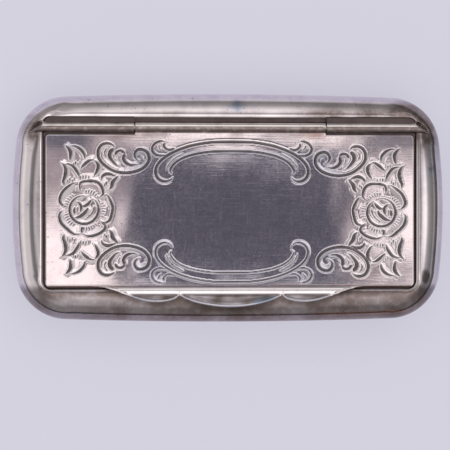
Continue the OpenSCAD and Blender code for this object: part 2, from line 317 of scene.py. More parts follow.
floorLook = {"colour": (0.28, 0.275, 0.31, 1), "glow": (0.42, 0.405, 0.475, 1), "half": 4000.0}
floorMesh = bpy.data.meshes.new("floor")
f = floorLook["half"] * mm
floorMesh.from_pydata([(-f, -f, 0), (f, -f, 0), (f, f, 0), (-f, f, 0)], [], [(0, 1, 2, 3)])
floor = bpy.data.objects.new("floor", floorMesh)
bpy.context.scene.collection.objects.link(floor)
floorPaper = bpy.data.materials.new("floor paper")
floorPaper.use_nodes = True
s = Shade(floorPaper.node_tree)
paper = s.add("ShaderNodeBsdfPrincipled", Base_Color=floorLook["colour"], Roughness=0.9,
              Specular_IOR_Level=0.1, Emission_Color=floorLook["glow"], Emission_Strength=1.0)
s.add("ShaderNodeOutputMaterial", Surface=paper)
floorMesh.materials.append(floorPaper)

softBox = {"height": 1500.0, "size": 2600.0, "power": 9.0}
lampData = bpy.data.lights.new("soft box", "AREA")
lampData.size = softBox["size"] * mm
lampData.energy = softBox["power"]
lamp = bpy.data.objects.new("soft box", lampData)
bpy.context.scene.collection.objects.link(lamp)
lamp.location = (0, 0, softBox["height"] * mm)
lamp.visible_glossy = False

# The tent of light round the case. Each side is a list of elevation in
# degrees and brightness. What hangs overhead is mirrored by the lid, so its
# patches are placed by the part of the lid that shows them: in mm, each side
# of a patch running out over a pair of limits.
tent = {
    "back": [(0, 0.55), (5, 0.55), (9, 0.24), (18, 0.24), (30, 0.36), (42, 0.75), (50, 1.15),
             (56, 1.1), (62, 0.75), (70, 0.65), (82, 0.6)],
    "left": [(0, 0.30), (5, 0.24), (12, 0.6), (24, 0.85), (36, 0.62), (48, 0.64), (55, 0.22),
             (63, 0.16), (69, 0.45), (75, 0.7), (84, 0.65)],
    "right": [(0, 0.11), (13, 0.13), (20, 0.45), (25, 0.22), (38, 0.30), (48, 0.5), (55, 1.3),
              (67, 1.3), (74, 0.5), (82, 0.3)],
    "front": [(0, 0.04), (6, 0.06), (11, 0.5), (36, 0.48), (46, 0.85), (62, 1.1), (72, 1.5),
              (82, 1.4), (88, 1.0)],
    "hood": (0.140, 0.138, 0.166, 1),          # the dark opening straight above
    "white": (1.24, 1.17, 1.15, 1),
    "shade": (0.40, 0.36, 0.38, 1),
    "backdrop": (0.64, 0.62, 0.72, 1),         # all that the camera itself sees
    "wander": 9.0,                             # how far the patches' edges wander
    "whites": [
        {"right": (-25, -21), "high": (-3, 2)},
        {"left": (27.5, 29.5), "low": (-12, -9), "high": (8, 11)},
        {"left": (-25, -16), "right": (23, 28), "low": (11.0, 12.2)},
        {"high": (-17.5, -15.8)},
    ],
    "hoodAt": {"left": (-24, -19), "right": (20, 26), "low": (-17.5, -15.8), "high": (11.0, 12.2)},
    "dusk": [{"left": (24, 29), "low": (9.5, 11.5)}, {"right": (-29, -26), "low": (12.0, 13.0)}],
    "lowDusk": {"left": (18, 22), "right": (32, 34), "low": (-17.5, -15.8), "high": (-12, -9.5)},
    "overLid": {"left": (-60, -42), "right": (42, 60), "low": (-40, -24), "high": (20, 34)},
}

world = bpy.data.worlds.new("tent")
bpy.context.scene.world = world
world.use_nodes = True
s = Shade(world.node_tree)
direction = s.add("ShaderNodeTexCoord", out=0)
split = s.tree.nodes.new("ShaderNodeSeparateXYZ")
s.tree.links.new(direction, split.inputs[0])
dx, dy, dz = split.outputs
height = s.calc("DIVIDE", s.calc("ARCSINE", dz), math.pi / 2)
flat = s.plus(s.times(dx, dx), s.times(dy, dy))
flat = s.calc("MAXIMUM", s.calc("SQRT", flat), 0.001)
walls = None
for side, axis, sign in (("right", dx, 1), ("left", dx, -1), ("back", dy, 1), ("front", dy, -1)):
    share = s.calc("MAXIMUM", s.times(s.calc("DIVIDE", axis, flat), sign), 0.0)
    share = s.times(share, share)
    tone = s.ramp(height, [(e / 90, (v, v, v)) for e, v in tent[side]])
    part = s.add("ShaderNodeVectorMath", settings={"operation": "SCALE"}, i0=tone, Scale=share)
    if walls is None:
        walls = part
    else:
        walls = s.add("ShaderNodeVectorMath", settings={"operation": "ADD"}, i0=walls, i1=part)
# where on the lid a direction overhead is mirrored to the camera
above = s.calc("MAXIMUM", dz, 0.05)
reach = eye.z - lidTop
onX = s.plus(s.times(s.calc("DIVIDE", dx, above), reach), eye.x)
onY = s.plus(s.times(s.calc("DIVIDE", dy, above), reach), eye.y)
wander = s.times(s.calc("SUBTRACT", s.noise(direction, 34.0, 3.0), 0.5), tent["wander"])
onX = s.plus(onX, wander)
onY = s.plus(onY, s.times(wander, 0.25))


def patch(left=None, right=None, low=None, high=None):
    # how far a direction is inside one patch
    share = None
    for value, pair, inside in ((onX, left, 1), (onX, right, 0), (onY, low, 1), (onY, high, 0)):
        if pair:
            side = s.step(value, *pair, 1 - inside, inside)
            share = side if share is None else s.times(share, side)
    return share


def patches(rows, most):
    share = patch(**rows[0])
    for row in rows[1:]:
        share = s.plus(share, patch(**row))
    return s.calc("MINIMUM", share, most)


overhead = s.mix(patches(tent["whites"], 1.0), tent["shade"], tent["white"])
overhead = s.mix(patch(**tent["hoodAt"]), overhead, tent["hood"])
overhead = s.mix(patches(tent["dusk"], 0.9), overhead, tent["hood"])
overhead = s.mix(s.times(patch(**tent["lowDusk"]), 0.75), overhead, tent["hood"])
overLid = s.times(patch(**tent["overLid"]), s.step(dz, 0.3, 0.6))
allRound = s.mix(overLid, walls, overhead)
seen = s.add("ShaderNodeLightPath", out=0)
allRound = s.mix(seen, allRound, tent["backdrop"])
s.add("ShaderNodeOutputWorld", Surface=s.add("ShaderNodeBackground", Color=allRound, Strength=1.0))
print("camera, floor and light made")

outlineLook = {
    "wall": 0.7,         # thickness of the sheet silver
    "endBow": 110.0,     # radius of the two bowed ends
    "sideBow": 900.0,    # radius of the bowed front and back
    "corner": 10.0,
    "opening": 1.5,      # corner radius of the opening
    "endSteps": 36,
    "sideSteps": 56,
    "cornerSteps": 56,
}


def outlineStations():
    # points round the outline, the way in from each, and the opening's matching points
    o = outlineLook
    endC, sideC = halfL - o["endBow"], halfW - o["sideBow"]
    endIn, sideIn = o["endBow"] - o["corner"], o["sideBow"] - o["corner"]
    span = math.hypot(endC, sideC)
    along = (endIn ** 2 - sideIn ** 2 + span ** 2) / (2 * span)
    across = math.sqrt(endIn ** 2 - along ** 2)
    toSide = (-endC / span, sideC / span)
    cornerX = endC + along * toSide[0] - across * toSide[1]
    cornerY = along * toSide[1] + across * toSide[0]
    endA = math.atan2(cornerY, cornerX - endC)
    sideA = math.atan2(cornerX, cornerY - sideC)
    right = math.pi / 2
    flatX = openX - o["opening"]
    flatBack, flatFront = openBack - o["opening"], openFront + o["opening"]
    arcs = []
    for turn, side in ((0, 1), (math.pi, -1)):
        arcs.append(((side * endC, 0), o["endBow"], turn - endA, turn + endA, o["endSteps"]))
        arcs.append(((side * cornerX, side * cornerY), o["corner"], turn + endA,
                     turn + right - sideA, o["cornerSteps"]))
        arcs.append(((0, side * sideC), o["sideBow"], turn + right - sideA,
                     turn + right + sideA, o["sideSteps"]))
        arcs.append(((-side * cornerX, side * cornerY), o["corner"], turn + right + sideA,
                     turn + math.pi - endA, o["cornerSteps"]))
    holes = [
        ((openX, flatFront), (openX, flatBack)), ((flatX, flatBack), 0),
        ((flatX, openBack), (-flatX, openBack)), ((-flatX, flatBack), right),
        ((-openX, flatBack), (-openX, flatFront)), ((-flatX, flatFront), math.pi),
        ((-flatX, openFront), (flatX, openFront)), ((flatX, flatFront), 3 * right),
    ]
    edge, inward, opening = [], [], []
    for (c, r, a0, a1, n), (p, q) in zip(arcs, holes):
        for i in range(n):
            t = i / n
            a = a0 + (a1 - a0) * t
            edge.append((c[0] + r * math.cos(a), c[1] + r * math.sin(a)))
            inward.append((-math.cos(a), -math.sin(a)))
            if isinstance(q, tuple):
                opening.append((p[0] + (q[0] - p[0]) * t, p[1] + (q[1] - p[1]) * t))
            else:
                b = q + right * t
                opening.append((p[0] + o["opening"] * math.cos(b), p[1] + o["opening"] * math.sin(b)))
    return np.array(edge), np.array(inward), np.array(opening)


edge, inward, opening = outlineStations()
wall = outlineLook["wall"]


def skinArc(fromD, run, z0, rise, stopD, steps):
    # distance in from the outline and height, along a quarter of an oval
    last = math.acos(max(0.0, 1 - stopD / run))
    return [(fromD + run * (1 - math.cos(last * i / steps)), z0 + rise * math.sin(last * i / steps))
            for i in range(steps + 1)]


hingeLook = {
    "cutTurn": 50,       # slant of the cut ends seen from above, degrees
    "cutLean": 27,       # their backward lean
    "past": 1.35,        # how far the axis runs past the opening's end
    "wall": 0.35,
    "gap": 0.2,          # between knuckles
    "uneven": 0.006,     # of the drawn tube
    "lengthSteps": 60,
    "round": 48,
}
cutTurn, cutLean = math.radians(hingeLook["cutTurn"]), math.radians(hingeLook["cutLean"])
cutNormal = (math.cos(cutLean) * math.cos(cutTurn), math.cos(cutLean) * math.sin(cutTurn),
             math.sin(cutLean))
cutAt = openX + hingeLook["past"]

thumbLook = {
    "halfLength": 26.8,
    "ribWidth": 1.7,
    "ribTop": 0.62,      # above the rim's crest
    "middleLobe": 4.1,   # reach in front of the lid
    "sideLobe": 3.1,
    "sideLobeX": 14.5,
    "cuspX": 10.2,
    "groove": 0.14,      # in front of the rib
    "lipTop": 0.42,      # above the rim under it
    "lipUnder": 0.15,
    "bead": 0.13,        # height of the raised edge of the lip
    "beadWidth": 0.17,
    "hollow": 0.10,      # of the lip behind its edge
    "rimEdge": 0.7,      # width of the rim's rolled edge below it
    "steps": 300,
    "ribSteps": 26,
    "lipSteps": 22,
    "underSteps": 14,
}


def thumbEdge(x):
    # the lip's outline: a wide lobe, two narrow ones, and a curve out to the ends
    t = thumbLook
    ribFront = lidFront - t["ribWidth"]
    cuspY = ribFront + 0.075
    deepMid, deepSide = lidFront - t["middleLobe"], lidFront - t["sideLobe"]
    u = min(abs(x) / t["cuspX"], 1)
    if u < 1:
        return deepMid + (cuspY - deepMid) * (1 - math.sqrt(1 - 0.75 * u * u)) * 2
    if abs(x) < t["sideLobeX"]:
        c = 1 - (abs(x) - t["cuspX"]) / (t["sideLobeX"] - t["cuspX"])
        return cuspY + (deepSide - cuspY) * math.sqrt(max(0, 1 - c * c))
    v = min(1, (abs(x) - t["sideLobeX"]) / (t["halfLength"] + 0.1 - t["sideLobeX"]))
    return (deepSide + lidFront) / 2 + (deepSide - lidFront) / 2 * math.cos(math.pi * v)


rimLook = {
    "run": 5.4,          # how far in the curve comes level
    "bevel": 0.8,        # width of the rolled edge of the opening
    "bevelDrop": 0.6,
    "backDrop": 0.26,    # the same along the hinge
    "edgeDepth": 2.4,    # of the turned-down edge
    "ripple": 0.012,     # unevenness of the old sheet
    "seam": 0.06,        # depth of the fine groove where the shells meet
    "outSteps": 34,
    "rollSteps": 9,
    "inSteps": 12,
}
# how strong each stain of the rim is, and where the small ones are
rimStains = {
    "opening": 0.6,
    "front": 0.92,
    "backRight": 0.62,
    "besideTube": 0.35,
    "upperRight": 0.45,
    "rightEnd": 0.22,
    # tarnish with painted shade in front of the tube's cut ends
    "tubeEndTarnishAndShade": 0.75,
    "tubeEndAt": (38.2, 15.0),
    "dint": 0.8,
    "dintAt": (38.6, -13.6),
    "blue": 0.9,
    "blueAt": (1.2, 20.0),
    "blueEnd": 0.8,
    "blueEndAt": (39.9, 7.6),
    "redLine": 0.75,
    "redLineY": -20.75,
}


def rimSection(m, back):
    # the rim's section where the opening's edge is m in from the outline
    r = rimLook
    drop = r["bevelDrop"] + (r["backDrop"] - r["bevelDrop"]) * back
    run = max(r["run"], m - r["bevel"])
    outside = skinArc(0, run, seamZ, crestZ - seamZ, m - r["bevel"], r["outSteps"])
    top = outside[-1][1]
    outside = [(r["seam"], seamZ), (r["seam"] * 0.3, seamZ + 0.05)] + outside[1:]
    roll = []
    for i in range(1, r["rollSteps"] + 1):
        a = math.pi / 2 * i / r["rollSteps"]
        roll.append((m - r["bevel"] + r["bevel"] * math.sin(a), top - drop * (1 - math.cos(a))))
    foot = crestZ - r["edgeDepth"]
    down = [(m, foot + 0.1), (m - 0.15, foot), (m - wall, foot)]
    inside = skinArc(wall, run - wall, seamZ, crestZ - seamZ - wall, m - 2 * wall, r["inSteps"])
    return outside + roll + down + inside[::-1]


def ripple(x, y, size, seed=0.0):
    # slow unevenness from a few crossed waves
    return size * (np.sin(0.21 * x + 0.37 * y + 1.3 + seed)
                   + np.sin(0.43 * x - 0.29 * y + 2.1 + seed * 2)
                   + 0.7 * np.sin(0.83 * x + 0.11 * y + 0.5 + seed)
                   + 0.5 * np.sin(0.31 * y - 1.17 * x + seed)) / 2


def dishForTube(points):
    # the rim is hollowed beside each cut end of the hinge tube
    hollow = np.zeros(len(points))
    for side in (1, -1):
        ex = side * points[:, 0] - cutAt
        ey = points[:, 1] - hingeY
        out = ex * math.cos(cutTurn) + ey * math.sin(cutTurn)
        across = -ex * math.sin(cutTurn) + ey * math.cos(cutTurn)
        cutZ = hingeZ - out * math.cos(cutLean) / math.sin(cutLean)
        floorZ = np.maximum(cutZ, hingeZ - tubeR * 0.85) - 0.06
        share = 1 - smoothStep(np.hypot(across / 1.5, np.maximum(out, 0) / 0.5), 0.9, 1.35)
        share = share * smoothStep(out, -0.9, -0.2)
        outer = points[:, 2] > seamZ + 1.5
        points[:, 2] += np.where(outer, share * np.minimum(0, floorZ - points[:, 2]), 0)
        hollow = np.maximum(hollow, share)
    return hollow


def makeRim():
    toOpening = opening - edge
    # square in from the outline at first, then turning towards the opening
    m = np.array([np.linalg.norm(edge - p, axis=1).min() for p in opening])
    atBack = smoothStep(opening[:, 1], openBack - 1.4, openBack - 0.1)
    sections = [np.array(rimSection(v, b)) for v, b in zip(m, atBack)]
    k = len(sections[0])
    points = []
    for i, section in enumerate(sections):
        d = section[:, 0]
        turned = smoothStep(d / m[i], 0.25, 1.0)
        flat = edge[i] + np.outer(d * (1 - turned), inward[i])
        flat = flat + np.outer(d / m[i] * turned, toOpening[i])
        points.append(np.column_stack([flat, section[:, 1]]))
    points = np.vstack(points)
    inBy = np.array([d for sec in sections for d, z in sec])
    left = np.repeat(m, k) - inBy      # still to go to the opening's edge
    x, y = points[:, 0], points[:, 1]
    points[:, 2] += ripple(x, y, rimLook["ripple"]) * smoothStep(points[:, 2], seamZ + 1, seamZ + 3)
    hollow = dishForTube(points)
    slow = ripple(x, y, 0.5, 2.0)
    stain = rimStains
    # brown where cleaning doesn't reach: along the opening, the front, round the hinge
    patinaAndShade = stain["opening"] * band(left, 0.5, 0.9, 0.9, 2.0) * (0.75 + 0.4 * slow)
    frontShare = smoothStep(-y, 14.6, 16.4)
    patinaAndShade += stain["front"] * frontShare * (0.95 + 0.25 * slow) * (1 - 0.25 * smoothStep(-x, 20, 30))
    patinaAndShade += 0.5 * hollow
    patinaAndShade += stain["backRight"] * band(y, 17.0, 17.8, 19.6, 21.4) * smoothStep(x, 10, 26) * (0.9 + slow)
    patinaAndShade += stain["besideTube"] * band(y, 17.0, 17.8, 17.9, 18.8) * (0.7 + slow)
    patinaAndShade += stain["upperRight"] * smoothStep(x, 31, 36) * smoothStep(y, 8, 13)
    # partly tarnish, partly painted shade in front of the cut ends of the tube, which stand proud of the rim
    patinaAndShade += stain["tubeEndTarnishAndShade"] * spot(np.abs(x), y, stain["tubeEndAt"], (1, 1), 0.8, 3.6)
    patinaAndShade += stain["rightEnd"] * smoothStep(x, 34, 41)
    # painted shadow cast on the rim by the thumbpiece's lip along its edge
    ahead = np.array([thumbEdge(v) for v in x]) - y
    lipShadow = band(ahead, -0.4, 0.0, 0.1, 1.5) * (1 - smoothStep(np.abs(x), 22, 27))
    patinaAndShade += 0.5 * lipShadow * (0.9 + slow)
    # a dark dint on the front right corner, and a few bluish spots
    dint = spot(x, y, stain["dintAt"], (1.0, 1.7), 0.5, 1.1)
    patinaAndShade += stain["dint"] * dint
    bluing = stain["blue"] * spot(x, y, stain["blueAt"], (1.4, 1.5), 0.4, 1.2)
    bluing += 0.25 * smoothStep(x, 36, 40) * (0.5 + slow)
    bluing += stain["blueEnd"] * spot(x, y, stain["blueEndAt"], (0.9, 0.5), 0.3, 1.3)
    offLine = np.abs(y - stain["redLineY"] - 0.0018 * (x - 18) ** 2)
    ember = stain["redLine"] * (1 - smoothStep(offLine, 0.05, 0.28)) * band(x, 14, 20, 32, 36) * (0.8 + slow)
    # painted shade: the outer edge is greyer than the top where the shadowed floor is mirrored, and the
    # joint with the lid is darkened for the shade in the gap
    slateAndShade = 0.75 * frontShare + 0.6 * (1 - smoothStep(inBy, 0.8, 1.6))
    sootAndShade = 0.85 * (1 - smoothStep(left, 0.02, 0.3)) * (1 - 0.7 * smoothStep(y, 15.5, 17))
    sootAndShade += 0.35 * dint + 0.6 * lipShadow + 0.25 * frontShare * (0.4 + slow)
    return makePiece("rim", points, ringFaces(len(edge), k, closed=True), "case", rimSilver,
                     ["upper_shell"], {"patinaAndShade": np.clip(patinaAndShade, 0, 1), "bluing": np.clip(bluing, 0, 1),
                                       "ember": np.clip(ember, 0, 1), "sootAndShade": sootAndShade,
                                       "slateAndShade": np.clip(slateAndShade, 0, 1)})


makeRim()

panLook = {"run": 6.4, "steps": 26, "inSteps": 14}


def makePan():
    outside = skinArc(0, panLook["run"], seamZ, -seamZ, panLook["run"], panLook["steps"])
    outside = [(rimLook["seam"], seamZ), (rimLook["seam"] * 0.3, seamZ - 0.06)] + outside[1:]
    inner = panLook["run"] - wall
    inside = skinArc(wall, inner, seamZ, wall - seamZ, inner, panLook["inSteps"])
    section = np.array(outside[::-1] + inside)
    k, n = len(section), len(edge)
    points = np.array([[edge[i][0] + inward[i][0] * d, edge[i][1] + inward[i][1] * d, z]
                       for i in range(n) for d, z in section])
    faces = [(i * k + j, i * k + j + 1, (i + 1) % n * k + j + 1, (i + 1) % n * k + j)
             for i in range(n) for j in range(k - 1)]
    faces.append([i * k for i in range(n)])
    faces.append([i * k + k - 1 for i in range(n)])
    x, y, z = points.T
    patinaAndShade = 0.25 * (1 - smoothStep(z, 0.0, 3.0)) + 0.5 * (1 - smoothStep(np.abs(z - seamZ), 0.05, 0.5))
    patinaAndShade = patinaAndShade + 0.12 * (1 + ripple(x, y, 1.0, 3.0))
    slateAndShade = np.clip(0.7 + ripple(x, y, 0.3, 1.5), 0, 1)
    return makePiece("pan", points, faces, "case", rimSilver, ["lower_shell"],
                     {"patinaAndShade": np.clip(patinaAndShade, 0, 1), "slateAndShade": slateAndShade})


makePan()


def tubeRings(rings):
    # each ring: radius, and x for a point's offsets from the axis
    n = hingeLook["round"]
    points = []
    for radius, place in rings:
        for i in range(n):
            a = 2 * math.pi * i / n
            dy, dz = radius * math.cos(a), radius * math.sin(a)
            points.append((place(dy, dz), hingeY + dy, hingeZ + dz))
    return points


def slantX(dy, dz):
    return cutAt - (cutNormal[1] * dy + cutNormal[2] * dz) / cutNormal[0]


def makeTube(name, node, body, x0, slanted, side):
    # a drawn tube, slightly uneven, with both ends broken a little at the edges
    r, bore = tubeR, tubeR - hingeLook["wall"]
    end = slantX if slanted else (lambda dy, dz: midHalf)

    def at(share, shift=0.0):
        return lambda dy, dz: side * (x0 + (end(dy, dz) - x0) * share + shift)

    rings = [(bore, at(0, 0.5)), (bore, at(0, 0.04)), (bore + 0.04, at(0)), (r - 0.05, at(0)),
             (r - 0.015, at(0, 0.015)), (r, at(0, 0.05))]
    for i in range(1, hingeLook["lengthSteps"]):
        worn = hingeLook["uneven"] * (1 + math.sin(0.9 * i + side) * math.sin(0.37 * i))
        rings.append((r - worn, at(i / hingeLook["lengthSteps"])))
    rings += [(r, at(1, -0.05)), (r - 0.015, at(1, -0.015)), (r - 0.05, at(1)), (bore + 0.05, at(1)),
              (bore + 0.01, at(1, -0.02)), (bore, at(1, -0.06)), (bore, at(1, -0.5))]
    points = np.array(tubeRings(rings))
    x, y, z = points.T
    slow = ripple(x * 2.3, z * 3, 0.5, 1.0)
    # brown on the front and underneath, tarnish deepened by painted shade; a painted highlight runs along
    # the top
    patinaAndShade = 0.75 * smoothStep(hingeY + 0.15 - y, -0.3, 0.55) + 0.35 + 0.25 * slow
    if slanted:
        patinaAndShade += 0.25
    patinaAndShade -= 0.6 * (1 - smoothStep(np.abs(y - hingeY - 0.42), 0.1, 0.4)) * (z > hingeZ)
    patinaAndShade += 0.5 * (1 - smoothStep(np.hypot(y - hingeY, z - hingeZ), bore, bore + 0.12))
    return makePiece(name, points, ringFaces(len(rings), hingeLook["round"], closed=True), body,
                     tubeSilver, [node], {"patinaAndShade": np.clip(patinaAndShade, 0, 1)})


def makeStopping(name, node, side):
    # rough filling in the tube's open end, a little below the wall round it
    bore = tubeR - hingeLook["wall"]
    x0 = pinHi[0]
    rings = [(0.02, lambda dy, dz: side * x0), (bore, lambda dy, dz: side * x0)]
    for radius, sunk in ((bore, 0.34), (bore - 0.08, 0.32), (bore - 0.13, 0.12), (bore - 0.2, 0.07),
                         (bore - 0.4, 0.05), (0.2, 0.09), (0.02, 0.1)):
        rings.append((radius, lambda dy, dz, sunk=sunk: side * (slantX(dy, dz) - sunk)))
    points = np.array(tubeRings(rings))
    n = hingeLook["round"]
    faces = ringFaces(len(rings), n)
    faces += [list(range(n)), list(range((len(rings) - 1) * n, len(rings) * n))]
    away = np.hypot(points[:, 1] - hingeY, points[:, 2] - hingeZ)
    patinaAndShade = 0.35 + 0.65 * smoothStep(away, bore - 0.2, bore - 0.08)
    return makePiece(name, points, faces, "case", pinMetal, [node],
                     {"patinaAndShade": patinaAndShade, "cut": 0.8 * smoothStep(away, bore - 0.16, bore - 0.06)})


makeTube("tubeRight", "knuckle_right", "case", midHalf + hingeLook["gap"], True, 1)
makeTube("tubeLeft", "knuckle_left", "case", midHalf + hingeLook["gap"], True, -1)
makeTube("tubeLid", "knuckle_lid", "lid", -midHalf, False, 1)
makeStopping("stoppingRight", "pin_plug_right", 1)
makeStopping("stoppingLeft", "pin_plug_left", -1)

# The engraving, with the middle of each motif and which way round it is.
engraving = {
    "depth": 0.17,
    "burr": 0.017,       # height of the turned-up edge beside a cut
    "burrWidth": 0.09,
    "softDepth": 0.08,   # of the slope that runs off on one side of a cut
    "roses": [(-28.5, -0.4, 1), (29.6, -0.9, -1)],
    "scrolls": [(-20.9, 9.6, -1, 1), (-20.9, -10.2, -1, -1), (21.6, 9.1, 1, 1), (22.1, -10.5, 1, -1)],
    "brackets": [(0.3, 0.0, 1, 0.28), (0.25, -1.65, -1, 0.17)],
}
strokes = []


def cutterAt(x, y, flipX=1, flipY=1):
    # a graver that works in a motif's own coordinates. width is half the cut's;
    # soft is how wide a slope runs off on the left (above 0) or right (below 0)
    # of its direction; lop makes the cut wider on one side; taper at both ends
    turn = flipX * flipY

    def cut(points, width=0.2, soft=0.0, depth=1.0, taper=(0.15, 0.15), lop=0.0):
        line = curveThrough([(x + flipX * px, y + flipY * py) for px, py in points])
        strokes.append((line, width, soft * turn, depth, taper, lop * turn))

    return cut


def rose(x, y, flipX):
    cut = cutterAt(x, y, flipX)
    # five uneven petals round a bud, each with a few short cuts at its foot
    petals = (
        [(-1.5, 5.4), (-2.5, 5.0), (-4.0, 3.8), (-4.7, 2.6), (-4.8, 1.6), (-4.3, 0.9), (-3.4, 0.4)],
        [(-4.2, 0.0), (-4.8, -0.6), (-4.9, -1.4), (-4.5, -2.6), (-3.3, -3.8), (-2.3, -4.6), (-1.5, -4.8),
         (-0.8, -4.6)],
        [(-0.4, -4.6), (0.5, -5.1), (1.5, -5.1), (2.9, -4.6), (3.9, -3.8), (4.0, -3.1), (3.5, -2.7),
         (2.9, -2.3)],
        [(2.9, -2.0), (3.6, -2.5), (4.1, -2.5), (4.9, -2.0), (5.3, -0.8), (5.5, 0.4), (5.2, 1.4), (4.7, 2.4),
         (4.2, 2.9), (3.6, 2.8)],
        [(-0.7, 3.5), (-1.0, 4.3), (-0.8, 5.2), (-0.1, 5.5), (1.5, 5.6), (2.6, 5.3), (3.3, 4.5), (3.6, 3.4),
         (3.4, 2.8), (2.5, 2.2)],
    )
    for petal in petals:
        cut(petal, 0.29, 1.6, taper=(0.3, 0.3))
    cut([(-0.5, -3.3), (-0.55, -4.0), (-0.5, -4.5)], 0.2)
    for middle in (150, 214, 287, 0, 66):
        for turn in (-20, -12, -4, 4, 12, 20):
            a = math.radians(middle + turn)
            far = 3.9 + 0.25 * math.cos(math.radians(4.5 * turn))
            cut([(r * math.cos(a), r * math.sin(a)) for r in (3.3, 3.6, far)], 0.12, depth=0.55)
    bud = []
    for i in range(16):
        a = math.radians(70 + 352 * i / 15)
        bud.append((-0.1 + 2.8 * math.cos(a), 2.75 * math.sin(a)))
    cut(bud, 0.25, 1.1, taper=(0.3, 0.2))
    # the folded heart of the bud
    cut([(1.3, 2.1), (1.0, 1.5), (0.4, 0.9), (-0.2, 0.7), (-0.7, 0.9)], 0.3, -0.8, taper=(0.4, 0.4))
    cut([(0.6, 0.5), (0.3, -0.3), (-0.7, -1.2), (-1.4, -1.5), (-2.1, -1.5)], 0.36, 0.9, taper=(0.3, 0.4))
    cut([(-1.8, 1.6), (-1.2, 1.4), (-0.7, 0.8), (-0.7, 0.0), (-1.0, -0.6)], 0.24, 0.5, taper=(0.4, 0.4))
    cut([(-1.9, 0.5), (-2.05, -0.1), (-2.0, -0.8)], 0.2, depth=0.8)
    cut([(-1.4, 0.6), (-1.5, 0.0), (-1.5, -0.5)], 0.12, depth=0.6)
    cut([(1.9, 0.9), (1.7, -0.2), (1.0, -1.2), (0.0, -1.9)], 0.14, 0.6, depth=0.6)


def spray(x, y, flipX, flipY):
    # four leaves standing off the rose, x outwards and y away from it
    cut = cutterAt(x, y, flipX, flipY)
    leaves = (
        ([(3.9, 12.6), (3.3, 12.1), (2.8, 11.3), (2.8, 10.4), (2.9, 9.4)],
         0.38, -1.0, (0.45, 0.45)),
        ([(2.9, 12.4), (2.0, 12.4), (1.0, 12.0), (0.3, 11.3), (0.0, 10.6), (0.0, 9.8)],
         0.30, 1.0, (0.45, 0.35)),
        ([(4.7, 9.3), (4.0, 8.6), (3.7, 7.6), (3.9, 6.4), (4.2, 5.5), (4.0, 4.6)],
         0.38, -1.0, (0.45, 0.45)),
        ([(4.1, 8.8), (3.2, 8.9), (2.2, 8.5), (1.5, 7.6), (1.1, 6.8), (1.0, 6.0)],
         0.30, 1.0, (0.45, 0.35)),
        ([(0.9, 7.9), (0.1, 8.7), (-0.9, 9.5), (-1.5, 9.7), (-2.0, 9.6)],
         0.32, -1.0, (0.45, 0.45)),
        ([(-1.8, 9.7), (-2.4, 9.1), (-2.6, 8.4), (-2.3, 7.4), (-1.7, 6.4)],
         0.32, -1.0, (0.35, 0.45)),
        ([(-3.2, 5.7), (-3.5, 6.5), (-4.3, 6.9), (-5.2, 6.8), (-6.2, 6.4)],
         0.36, -1.0, (0.45, 0.45)),
        ([(-6.5, 6.7), (-6.0, 6.1), (-5.4, 5.4), (-5.2, 4.5), (-4.6, 3.8)],
         0.40, -1.0, (0.45, 0.45)),
    )
    for points, width, side, taper in leaves:
        cut(points, width, side, lop=0.2 * side, taper=taper)
    # short cuts at the feet of the leaves
    for hx, hy in ((2.2, 9.3), (1.8, 9.5), (1.3, 9.3), (0.9, 9.6), (3.3, 6.0), (2.9, 6.3), (2.4, 6.0),
                   (2.0, 6.4), (0.8, 6.7), (0.3, 6.8), (-0.2, 6.8), (-0.8, 6.7), (-3.9, 5.3), (-4.2, 5.6)):
        cut([(hx, hy), (hx + 0.03, hy - 0.35), (hx, hy - 0.75)], 0.12, depth=0.55)


def scroll(x, y, flipX, flipY):
    # a leafy C scroll: curled leaf outside, volute towards the middle
    cut = cutterAt(x, y, flipX, flipY)
    cut([(1.7, 2.2), (2.4, 2.8), (3.4, 3.0), (4.4, 2.6), (5.0, 1.6), (5.0, 0.4), (4.4, -0.7), (3.4, -1.6),
         (2.1, -2.4), (0.6, -2.8), (-0.9, -2.85), (-2.6, -2.5), (-4.0, -1.8), (-4.9, -0.7), (-5.0, 0.4),
         (-4.6, 1.3), (-3.7, 1.8), (-2.8, 1.8), (-2.2, 1.2), (-2.1, 0.4), (-2.5, -0.2), (-3.2, -0.5)],
        0.31, -1.2, lop=-0.25, taper=(0.06, 0.12))
    cut([(2.0, 2.0), (2.7, 1.3), (2.8, 0.3), (2.2, -0.6), (1.5, -1.3), (0.6, -1.7)], 0.40, -0.9,
        lop=-0.3, taper=(0.08, 0.7))
    cut([(1.7, 0.6), (1.3, 1.3), (0.5, 1.5), (-0.2, 1.0)], 0.26, 0.6)
    cut([(-0.1, 1.0), (0.1, 0.0), (-0.2, -0.7), (-0.9, -1.2), (-1.7, -1.35), (-2.8, -1.1)], 0.32, -0.8,
        lop=-0.3, taper=(0.1, 0.5))
    cut([(3.1, 2.1), (3.6, 1.6), (3.75, 0.9), (3.4, 0.2)], 0.13, depth=0.6)
    cut([(4.3, 1.5), (4.35, 0.5), (3.8, -0.4), (2.8, -1.3), (1.5, -2.0), (0.3, -2.2)], 0.1, depth=0.45)
    cut([(1.0, 0.6), (1.0, 0.0), (0.7, -0.6)], 0.1, depth=0.5)
    cut([(2.0, 0.9), (1.9, 0.2), (1.4, -0.5)], 0.08, depth=0.4)


